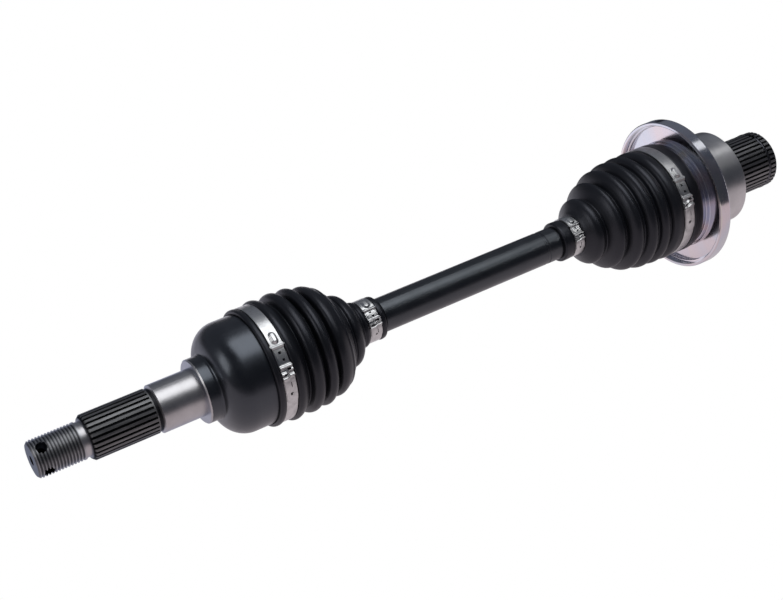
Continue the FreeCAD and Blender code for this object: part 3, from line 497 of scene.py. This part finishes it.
def lathe(name, section, material, segments=224):
    """A ring turned about X from a closed section of (x, radius) points."""
    gap = 1e-7
    section = without_repeats(section, gap)
    if not apart(section[0], section[-1], gap):
        section.pop()
    verts = [on_axle(x, radius, 2 * math.pi * k / segments)
             for x, radius in section for k in range(segments)]
    faces = []
    for i in range(len(section)):
        row = i * segments
        next_row = (i + 1) % len(section) * segments
        for k in range(segments):
            q = (k + 1) % segments
            faces.append((row + k, row + q, next_row + q, next_row + k))
    return mesh_object(name, verts, faces, material, sharp=40.0)


def between(p, q, start, end, t):
    return (end - t) / (end - start) * p + (t - start) / (end - start) * q


def spline_curve(points, steps):
    """Centripetal Catmull-Rom through the points; a point given twice is a corner."""
    runs = [[points[0]]]
    for point in points[1:]:
        if point == runs[-1][-1]:
            runs.append([point])
        else:
            runs[-1].append(point)
    curve = []
    for run in runs:
        if len(run) <= 2:
            curve += run
            continue
        knots = [np.array(point, float) for point in run]
        knots = [2 * knots[0] - knots[1]] + knots + [2 * knots[-1] - knots[-2]]
        for i in range(1, len(knots) - 2):
            p0, p1, p2, p3 = knots[i - 1:i + 3]
            t0 = 0.0
            t1 = t0 + max(np.linalg.norm(p1 - p0), 1e-6) ** 0.5
            t2 = t1 + max(np.linalg.norm(p2 - p1), 1e-6) ** 0.5
            t3 = t2 + max(np.linalg.norm(p3 - p2), 1e-6) ** 0.5
            for k in range(steps):
                t = t1 + (t2 - t1) * k / steps
                a1 = between(p0, p1, t0, t1, t)
                a2 = between(p1, p2, t1, t2, t)
                a3 = between(p2, p3, t2, t3, t)
                b1 = between(a1, a2, t0, t2, t)
                b2 = between(a2, a3, t1, t3, t)
                curve.append(tuple(between(b1, b2, t1, t2, t)))
        curve.append(tuple(knots[-2]))
    return without_repeats(curve, 1e-6)


def split_at(curve, x):
    """Cuts a curve of (x, radius) at its first crossing of x; both halves get the cut point."""
    for i in range(len(curve) - 1):
        (xa, ra), (xb, rb) = curve[i], curve[i + 1]
        if xa < x <= xb:
            t = (x - xa) / (xb - xa)
            cut = (x, ra + (rb - ra) * t)
            left = curve[:i + 1] + ([cut] if t > 1e-6 else [])
            right = [cut] + (curve[i + 1:] if t < 1 - 1e-6 else curve[i + 2:])
            return left, right
    raise ValueError("no crossing at %s" % x)


# ------------------------------------------------------------------ boots
# Boot outlines: (x, radius) in mm, from low x to high x. A point given twice is a corner.
OUTBOARD_OUTSIDE = [
    (38.2, 37.15), (38.2, 37.15), (38.25, 38.0), (38.6, 38.85), (39.3, 39.25), (40.3, 39.35),
    (41.3, 39.25), (42.1, 38.9), (42.4, 38.3), (42.45, 37.8),
    # seat of the large clamp
    (42.45, 37.8), (51.0, 37.8),
    (51.0, 37.8), (51.1, 38.9), (51.7, 39.9), (52.8, 40.35), (54.4, 40.3), (56.2, 39.6),
    (58.2, 38.3), (60.0, 36.7), (60.9, 35.5), (61.4, 35.0),
    (61.9, 35.3), (62.4, 36.6), (63.1, 38.3), (64.4, 39.75), (66.2, 40.35), (68.2, 40.15),
    (70.0, 39.1), (71.2, 37.4), (71.9, 35.5), (72.3, 34.6),
    (72.6, 34.4), (72.9, 34.7), (73.4, 36.3), (74.2, 38.2), (75.6, 39.5), (77.3, 39.8),
    (79.2, 39.1), (80.7, 37.5), (81.7, 35.3), (82.3, 33.5),
    (82.7, 33.0), (83.1, 33.3), (83.7, 34.9), (84.7, 36.6), (86.2, 37.4), (88.2, 37.3),
    (89.8, 36.7), (91.4, 35.8), (92.8, 34.8), (93.5, 34.4), (94.2, 34.25), (94.9, 33.8),
    (95.8, 32.6), (97.0, 30.8), (97.7, 29.9), (98.4, 29.5), (99.0, 28.7), (100.2, 26.2),
    (101.3, 24.4), (102.2, 23.7),
    (102.8, 23.8), (103.4, 24.4), (104.4, 24.8), (105.8, 24.6), (107.4, 24.0), (108.8, 23.0),
    (110.3, 21.2), (111.6, 19.1), (112.6, 17.3), (113.4, 16.0),
    (114.1, 15.3), (114.8, 15.1), (115.6, 15.5), (116.4, 15.75), (117.4, 15.5), (118.4, 14.9),
    (118.8, 14.3), (118.9, 13.7),
    # seat of the small clamp
    (118.9, 13.7), (127.9, 13.7),
    (127.9, 13.7), (128.1, 14.3), (128.7, 14.7), (130.4, 14.7), (131.5, 14.4), (132.1, 13.7),
    (132.3, 12.6), (132.3, 11.5), (132.3, 11.5),
]
OUTBOARD_INSIDE = [
    (38.2, 37.15), (43.3, 37.0), (43.3, 37.0), (44.3, 35.9), (44.3, 35.9), (49.4, 35.9),
    (49.4, 35.9), (50.3, 37.0), (50.3, 37.0), (53.6, 37.2), (57.6, 35.2), (60.0, 33.2),
    (61.5, 32.6), (63.2, 34.6), (66.4, 38.0), (69.6, 36.2), (71.4, 32.8), (72.6, 32.0),
    (74.0, 34.2), (77.0, 37.4), (80.2, 35.0), (81.6, 31.6), (82.7, 30.7), (84.2, 32.8),
    (87.6, 35.0), (92.0, 33.0), (96.4, 28.2), (99.8, 23.4), (102.6, 21.3), (105.8, 22.2),
    (109.2, 20.0), (112.2, 15.3), (114.8, 12.9), (118.0, 11.6), (125.0, 11.5), (132.3, 11.5),
]
INBOARD_OUTSIDE = [
    (279.7, 11.5), (279.7, 11.5), (279.7, 12.8), (279.9, 13.5), (280.5, 14.0), (282.0, 14.1),
    (286.3, 13.9), (287.4, 13.7), (287.9, 13.2),
    # seat of the small clamp
    (287.9, 13.2), (295.9, 13.2),
    (295.9, 13.2), (296.1, 14.6), (296.5, 15.6), (297.4, 16.9), (298.6, 18.9), (299.8, 20.9),
    (301.2, 22.6), (303.0, 23.7), (304.9, 23.9), (306.7, 23.3), (308.2, 22.2), (309.2, 21.6),
    (309.8, 21.9), (310.5, 23.4), (311.6, 26.0), (313.0, 28.7), (314.7, 30.9), (316.4, 31.8),
    (318.0, 31.5), (319.5, 30.2), (320.6, 28.9), (321.3, 28.4),
    (321.8, 28.9), (322.6, 31.0), (323.8, 33.7), (325.4, 36.0), (327.3, 37.1), (329.2, 37.0),
    (331.0, 35.9), (332.4, 34.3), (333.3, 33.6),
    (334.0, 34.0), (334.8, 35.8), (336.0, 37.8), (337.7, 39.2), (339.6, 39.45), (341.4, 38.7),
    (342.9, 37.1), (344.0, 35.8), (344.6, 35.5),
    (345.2, 36.0), (346.0, 37.8), (347.3, 39.4), (349.1, 40.1), (351.0, 39.9), (352.7, 38.7),
    (354.0, 37.0), (354.8, 36.3), (355.3, 36.4),
    (356.0, 37.6), (357.1, 39.2), (358.8, 40.2), (361.2, 40.35), (363.2, 40.15), (364.4, 39.8),
    (364.95, 39.25),
    # seat of the large clamp
    (364.95, 39.25), (374.0, 39.25),
    (374.0, 39.25), (374.1, 40.0), (374.7, 40.35), (376.2, 40.4), (380.6, 40.3), (382.1, 39.9),
    (382.7, 39.2), (382.9, 38.2), (382.9, 37.3), (382.9, 37.3),
]
INBOARD_INSIDE = [
    (279.7, 11.5), (296.6, 11.5), (299.4, 16.4), (302.6, 20.6), (305.4, 21.3), (308.2, 19.6),
    (309.6, 19.3), (312.2, 24.2), (315.6, 29.0), (318.2, 28.6), (321.2, 26.1), (323.6, 30.4),
    (327.4, 34.6), (330.0, 34.0), (333.4, 31.3), (336.0, 35.0), (339.4, 37.0), (342.0, 35.2),
    (344.6, 33.2), (346.8, 36.4), (349.8, 37.7), (352.4, 36.0), (355.2, 34.1), (358.0, 37.4),
    (361.0, 37.4), (366.0, 37.3), (382.9, 37.3),
]

# Lengths of each boot: suffix, body at its low end, body at its high end, and the x in mm where
# the blend between the two starts and ends. Each length after the first starts at its blend.
# The shaft must stay inside the sleeve at full lock, so the outboard one turns close to the bell.
OUTBOARD_LENGTHS = (
    ("a", "bell", "outboard_ball_4", 51.3, 57.5),
    ("b", "outboard_ball_4", "outboard_cage_set", 57.5, 76.0),
    ("c", "outboard_cage_set", "outboard_ball_1", 76.0, 101.0),
    ("d", "outboard_ball_1", "bar", 101.0, 114.4),
)
# the inboard bodies are given from the housing side, so its blend falls with x
INBOARD_LENGTHS = (
    ("e", "inboard_ball_4", "bar", 300.6, 309.3),
    ("d", "inboard_cage_set", "inboard_ball_4", 309.3, 323.0),
    ("c", "inboard_ball_1", "inboard_cage_set", 323.0, 337.0),
    ("b", "plunge_boot", "inboard_ball_1", 337.0, 344.6),
    ("a", "housing", "plunge_boot", 344.6, 364.0),
)


def blend_weight(outline, start, end, falling):
    """A weight between 0 and 1 that changes faster where the sleeve is narrow, so that no fold
    is crushed."""
    xs = np.linspace(start, end, 200)
    outline_x, outline_radius = np.array(outline).T
    order = np.argsort(outline_x, kind="stable")
    radius = np.interp(xs, outline_x[order], outline_radius[order])
    share = np.concatenate([[0.0], np.cumsum((1 / radius[1:] + 1 / radius[:-1]) / 2)])
    share /= share[-1]
    return lambda x: float(np.interp(x, xs, 1 - share if falling else share))


def boot(node, outside, inside, lengths, falling, material):
    """A folded sleeve in lengths that meet end to end; for each length a blend weight along x is
    worked out, but it is not applied.
    """
    outer = spline_curve(outside, steps=9)
    inner = spline_curve(inside, steps=5)
    parts = []
    for _, _, _, cut, _ in lengths[1:]:
        outer_part, outer = split_at(outer, cut)
        inner_part, inner = split_at(inner, cut)
        parts.append((outer_part, inner_part))
    parts.append((outer, inner))

    for (suffix, first, second, start, end), (outer, inner) in zip(lengths, parts):
        piece = lathe(node + "_fold_" + suffix, outer + inner[::-1], material)
        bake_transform(piece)
        weight = blend_weight(outside, start, end, falling)
        weights = np.array([weight(v.co.x / MM) for v in piece.data.vertices], np.float32)
    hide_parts(node)


# ------------------------------------------------------------------ clamps
# Lengths in mm along the strap, from the centre of its pressed bump, before scaling.
LARGE = SimpleNamespace(bump_height=1.55, neck_end=17.0, ridge_pitch=3.25, tail=16.0,
                        windows=(9.8, 14.6), window_half=0.85, tail_window=9.6, spacing=0.28)
SMALL = SimpleNamespace(bump_height=1.15, neck_end=13.0, ridge_pitch=2.5, tail=9.0,
                        windows=(8.2, 11.4), window_half=0.6, tail_window=6.0, spacing=0.24)
# name, body, x of the low edge, width and inner radius in mm, clock angle of the bump in degrees
# up from the front, scale along the strap, style
CLAMPS = (
    ("outboard_large", "bell", 42.7, 8.0, 37.85, 63.0, 1.0, LARGE),
    ("outboard_small", "bar", 119.1, 8.6, 13.75, 88.0, 0.80, SMALL),
    ("inboard_small", "bar", 288.1, 7.6, 13.25, 88.0, 0.76, SMALL),
    ("inboard_large", "housing", 365.2, 8.4, 39.3, 63.0, 1.0, LARGE),
)
STRIP = 0.62                      # radial thickness of the band
COARSE = 0.9                      # mesh spacing along the plain parts
RIDGE_LEANS = (0.0, 0.252, 0.18)  # how far each ridge slants, in ridge pitches


def hump(place, centre, half):
    """A smooth hump, 1 at its centre and 0 beyond its half length."""
    t = abs(place - centre) / half
    return 0.0 if t >= 1 else (1 - t * t) ** 2


def limit(value, lo, hi):
    return min(hi, max(lo, value))


def stations(start, end, spacing):
    return np.linspace(start, end, int(round((end - start) / spacing)) + 1)


class Strap:
    """The shape of one crimped clamp: a plain band, and over it the strap's outer end with its
    pressed bump, hook step, narrow neck with windows, three crimped ridges and a flat tail.
    s runs round the axle from the bump's centre, down the front; w runs across, from the middle."""

    def __init__(self, width, inner_radius, scale, style):
        self.width = width
        self.half = width / 2
        self.inner_radius = inner_radius
        self.radius = inner_radius + STRIP
        self.scale = scale
        self.style = style
        self.circumference = 2 * math.pi * self.radius
        self.start = -self.circumference * 0.36
        self.step = 6.4 * scale
        self.neck_end = style.neck_end * scale
        self.pitch = style.ridge_pitch * scale
        self.ridges = [self.neck_end + self.pitch * (0.6 + i) for i in range(3)]
        self.tail_start = self.ridges[-1] + self.pitch * 0.62
        self.tail_end = self.tail_start + style.tail * scale

    def rise(self, s, w):
        """Height of the strap's outer skin over where it lies flat."""
        bump_length = 3.6 * self.scale
        bump_half = 0.27 * self.width
        distance = math.hypot(max(abs(s) - 0.45 * bump_length, 0.0) / (0.75 * bump_length),
                              w / (bump_half * 1.2))
        u = limit((1.0 - distance) / 0.62, 0.0, 1.0)
        height = self.style.bump_height * u * u * (3 - 2 * u)
        # cross bar at the hook step
        height += 0.75 * hump(s, self.step - 0.5, 1.5 * self.scale)
        if self.step < s < self.neck_end:
            height -= 0.12
        slant = limit(w / (0.25 * self.half), -1.0, 1.0)
        for ridge, lean in zip(self.ridges, RIDGE_LEANS):
            height += 1.35 * hump(s, ridge - lean * self.pitch * slant, self.pitch * 0.48)
        return height

    def outline(self, s):
        """Half the strap's width."""
        if s < self.step - 1.2 * self.scale:
            return self.half
        if s < self.step + 0.9 * self.scale:
            return self.half * 1.02
        if s < self.neck_end:
            return self.half * 0.80
        if s < self.tail_start:
            return self.half * 1.03
        taper = max(0.0, s - self.tail_end + 2.0) / 2.0
        return self.half * 0.97 * (1 - 0.25 * taper)

    def is_hole(self, s, w):
        k, half = self.scale, self.half
        window_half = self.style.window_half * k
        # two windows in the neck
        for place, across in zip(self.style.windows, (-0.10, 0.12)):
            if abs(s - place * k) < window_half and abs(w - across * half) < 0.1054 * self.width:
                return True
        # a slit and a window with one corner filled in the tail
        tail = self.tail_start
        if tail + 1.6 * k < s < tail + 5.2 * k and abs(w - 0.18 * half) < 0.26:
            return True
        place = tail + self.style.tail_window * k
        filled = s > place and w > 0.02 * self.width
        if (abs(s - place) < window_half * 1.15 and abs(w + 0.05 * half) < 0.1116 * self.width
                and not filled):
            return True
        # a cut after each of the first two ridges, on opposite sides
        for ridge, side in zip(self.ridges, (1, -1)):
            if (abs(s - ridge - self.pitch * 0.5) < 0.22 * self.pitch
                    and 0.12 * half < side * w < 0.72 * half):
                return True
        return False

    def strap_metal(self, s, w):
        k = self.scale
        nub = abs(s - (self.step - 1.4 * k)) < 0.75 * k and abs(w) < self.half + 0.75
        return (abs(w) < self.outline(s) or nub) and not self.is_hole(s, w)

    def strap_top(self, s, w):
        lead = limit((s - self.start) / 3.0, 0.0, 1.0)     # the end lies down on the band
        margin = self.outline(s) - abs(w)
        rounding = 0.14 * (1 - margin / 0.25) ** 2 if 0 <= margin <= 0.25 else 0.0
        return self.radius - 0.02 + 0.60 * lead + self.rise(s, w) - rounding

    def strap_bottom(self, s, w):
        """Pressed and crimped areas are hollow behind, the rest lies on the band."""
        return self.radius - 0.06 + max(0.0, self.rise(s, w) - 0.15) * 0.8

    def band_metal(self, s, w):
        return not (s < self.tail_end and self.is_hole(s, w))

    def band_rounding(self, w, reach, drop):
        margin = self.half - abs(w)
        return 0.0 if margin >= reach else drop * (1 - margin / reach) ** 2

    def band_top(self, s, w):
        return self.radius - self.band_rounding(w, reach=0.22, drop=0.16)

    def band_bottom(self, s, w):
        return self.inner_radius + self.band_rounding(w, reach=0.2, drop=0.05)

    def band_stations(self):
        """Once round, fine under the formed part of the strap."""
        change = self.tail_end + 1.0
        return np.concatenate([
            stations(self.step, change, self.style.spacing),
            stations(change, self.step + self.circumference, COARSE)[1:]])

    def strap_stations(self):
        change = -5.0
        return np.concatenate([
            stations(self.start, change, COARSE)[:-1],
            stations(change, self.tail_end, self.style.spacing)])


# walls of a cell in a sheet: the neighbour they face, and the two corners they stand on
WALLS = (
    ((-1, 0), (0, 0), (0, 1)),
    ((1, 0), (1, 1), (1, 0)),
    ((0, -1), (1, 0), (0, 0)),
    ((0, 1), (0, 1), (1, 1)),
)


def sheet(name, centre, radius, clock, ss, half_width, columns, metal, top, bottom, material):
    """A formed strip wrapped round the axle on a grid of s and w. metal(s, w) says where there
    is metal; top and bottom give its two radii."""
    rows = len(ss) - 1
    ww = np.linspace(-half_width, half_width, columns + 1)
    closed = abs((ss[-1] - ss[0]) - 2 * math.pi * radius) < 1e-3
    cells = [[metal((ss[i] + ss[i + 1]) / 2, (ww[j] + ww[j + 1]) / 2) for j in range(columns)]
             for i in range(rows)]
    ids, verts, faces = {}, [], []

    def filled(i, j):
        if closed:
            i %= rows
        return 0 <= i < rows and 0 <= j < columns and cells[i][j]

    def vert(i, j, up):
        if closed:
            i %= rows
        key = (i, j, up)
        if key not in ids:
            s, w = ss[i], ww[j]
            ids[key] = len(verts)
            verts.append(on_axle(centre + w, top(s, w) if up else bottom(s, w),
                                 math.radians(clock) - s / radius))
        return ids[key]

    for i in range(rows):
        for j in range(columns):
            if not filled(i, j):
                continue
            corners = ((i, j), (i + 1, j), (i + 1, j + 1), (i, j + 1))
            faces.append(tuple(vert(*corner, 1) for corner in corners))
            faces.append(tuple(vert(*corner, 0) for corner in corners[::-1]))
            for (di, dj), (ai, aj), (bi, bj) in WALLS:
                if not filled(i + di, j + dj):
                    a, b = (i + ai, j + aj), (i + bi, j + bj)
                    faces.append((vert(*a, 0), vert(*a, 1), vert(*b, 1), vert(*b, 0)))
    return mesh_object(name, verts, faces, material, sharp=34.0)


def clamp(name, body, low_edge, width, inner_radius, clock, scale, style, material):
    shape = Strap(width, inner_radius, scale, style)
    centre = low_edge + width / 2
    reach = shape.half + 0.8                 # room for the nubs beside the strap
    band = sheet(name + "_band", centre, shape.radius, clock, shape.band_stations(),
                 shape.half, 32, shape.band_metal, shape.band_top, shape.band_bottom, material)
    strap = sheet(name + "_strap", centre, shape.radius, clock, shape.strap_stations(),
                  reach, int(round(2 * reach / 0.25)),
                  shape.strap_metal, shape.strap_top, shape.strap_bottom, material)
    for piece in (band, strap):
        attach(piece, body)
    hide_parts(name + "_clamp")


# ------------------------------------------------------------------ finishes of the CAD nodes
def dress(node, material):
    mesh = NODES[node].data
    mesh.materials.clear()
    mesh.materials.append(material)
    for polygon in mesh.polygons:
        polygon.use_smooth = True
    if not mesh.has_custom_normals:
        mesh.set_sharp_from_angle(angle=math.radians(28.0))


def dress_all():
    ball = ball_material()
    cage = steel_material("cage_steel", (0.36, 0.345, 0.33), roughness=0.34, lines=1500.0,
                          relief=0.4, contrast=0.16)
    race = steel_material("race_steel", (0.54, 0.54, 0.55), roughness=0.24, lines=1900.0,
                          relief=0.3, contrast=0.10)
    spring = steel_material("spring_steel", (0.10, 0.10, 0.115), roughness=0.33, lines=900.0,
                            relief=0.3, contrast=0.2)
    dress("outboard_bell", bell_material())
    dress("inboard_housing", housing_material())
    dress("deflector_disc", disc_material())
    dress("axle_bar", bar_material())
    for side in ("outboard", "inboard"):
        for i in range(1, 7):
            dress("%s_ball_%d" % (side, i), ball)
        dress(side + "_cage", cage)
        dress(side + "_inner_race", race)
        dress(side + "_shaft_circlip", spring)
    dress("inboard_retaining_ring", spring)
    dress("stub_circlip", spring)


# ------------------------------------------------------------------ floor, light and camera
def floor_material():
    """White to the camera; in reflections a warm grey that brightens to the rear, varies along
    the axle and dims far behind."""
    g = new_shader("floor_white")
    white = g.node("Emission", {"Color": (1, 1, 1), "Strength": 1.0}).outputs[0]
    rear = g.rise(g.y, lo=-0.04, hi=0.20)
    front_tone, rear_tone = (0.57, 0.515, 0.54), (0.97, 0.95, 1.02)
    tone = g.mix(rear, front_tone, rear_tone)
    strength = g.remap(g.y, lo=0.42, hi=0.85, start=1.0, end=0.10)

    # tone of the rear floor from the wheel end to the gearbox end
    along = g.remap(g.x, lo=-0.30, hi=0.70, interpolation="LINEAR")
    row = g.ramp(along, [(0.10, (0.55, 0.56, 0.60)), (1.0, (0.10, 0.11, 0.13))])
    for position, colour in (
            (0.25, (0.60, 0.60, 0.64)), (0.40, (0.80, 0.80, 0.84)), (0.50, (1, 1, 1)),
            (0.655, (1, 1, 1)), (0.735, (0.075, 0.085, 0.11))):
        row.node.color_ramp.elements.new(position).color = (*colour, 1)
    tone = g.mix(rear, tone, row, blend="MULTIPLY")
    reflected = g.node("Emission", {"Color": tone, "Strength": strength}).outputs[0]
    g.output("Material", g.camera_split(camera=white, others=reflected))
    return g.owner


def build_floor():
    height, half = -0.125, 6.0
    mesh = bpy.data.meshes.new("floor")
    corners = ((-half, -half), (half, -half), (half, half), (-half, half))
    mesh.from_pydata([(x, y, height) for x, y in corners], [], [(0, 1, 2, 3)])
    floor = bpy.data.objects.new("floor", mesh)
    bpy.context.scene.collection.objects.link(floor)
    mesh.materials.append(floor_material())
    floor.visible_camera = False      # never in front of a bent pose; the white world shows


def build_world(scene):
    """White to the camera, otherwise a dim blue-grey that is lighter to the rear."""
    scene.world = bpy.data.worlds.new("studio")
    g = Shader(scene.world, coordinates="Generated")
    rearward = g.remap(g.y, lo=-1, hi=1, interpolation="LINEAR")
    tone = g.ramp(rearward, [(0.35, (0.035, 0.040, 0.052)), (0.80, (0.12, 0.13, 0.155))])
    dim = g.node("Background", {"Color": tone, "Strength": 1.0}).outputs[0]
    white = g.node("Background", {"Color": (1, 1, 1), "Strength": 1.0}).outputs[0]
    g.output("World", g.camera_split(camera=white, others=dim))


def aim(placed, direction):
    placed.rotation_mode = "QUATERNION"
    placed.rotation_quaternion = direction.to_track_quat("-Z", "Y")


def area(scene, name, location, target, size, power, colour=(1, 1, 1)):
    light = bpy.data.lights.new(name, "AREA")
    light.energy = power
    light.color = colour
    light.shape = "RECTANGLE"
    light.size, light.size_y = size
    lamp = bpy.data.objects.new(name, light)
    lamp.location = location
    aim(lamp, Vector(target) - Vector(location))
    scene.collection.objects.link(lamp)


def build_lights(scene):
    area(scene, "top_soft", location=(0.36, 0.04, 1.15), target=(0.22, 0.0, 0.0),
         size=(0.98, 0.92), power=5.8, colour=(0.96, 0.98, 1.0))
    area(scene, "top_right", location=(1.05, 0.10, 1.05), target=(0.42, 0.0, 0.0),
         size=(0.25, 0.7), power=0.45)
    area(scene, "left_soft", location=(-1.1, 0.10, 0.60), target=(0.05, 0.0, 0.0),
         size=(0.6, 0.6), power=2.4)
    area(scene, "kicker", location=(0.873, -0.50, 0.977), target=(0.39, 0.0, 0.03),
         size=(0.08, 0.13), power=0.34)


def build_camera(scene):
    """Three-quarter view from above, in front of the wheel end."""
    data = bpy.data.cameras.new("camera")
    data.sensor_width = 36.0
    data.lens = 65.7471264
    data.shift_x, data.shift_y = -0.00574712643, 0.00970625798
    data.clip_start, data.clip_end = 0.01, 50.0
    camera = bpy.data.objects.new("camera", data)
    scene.collection.objects.link(camera)
    camera.location = (-0.251, -0.609, 0.601)
    azimuth, elevation = math.radians(-33.2), math.radians(39.5)
    back = Vector((math.sin(azimuth) * math.cos(elevation),
                   -math.cos(azimuth) * math.cos(elevation), math.sin(elevation)))
    aim(camera, -back)
    scene.camera = camera


# ------------------------------------------------------------------ build
rubber = rubber_material()
boot("outboard_boot", OUTBOARD_OUTSIDE, OUTBOARD_INSIDE, OUTBOARD_LENGTHS, False, rubber)
boot("inboard_boot", INBOARD_OUTSIDE, INBOARD_INSIDE, INBOARD_LENGTHS, True, rubber)

# The inboard blend weights fall with x: see the note above INBOARD_LENGTHS.
strip_steel = clamp_material()
for entry in CLAMPS:
    clamp(*entry, strip_steel)
dress_all()

build_floor()
scene = bpy.context.scene
scene.view_settings.view_transform = "Standard"
scene.view_settings.look = "None"
build_world(scene)
build_lights(scene)
build_camera(scene)
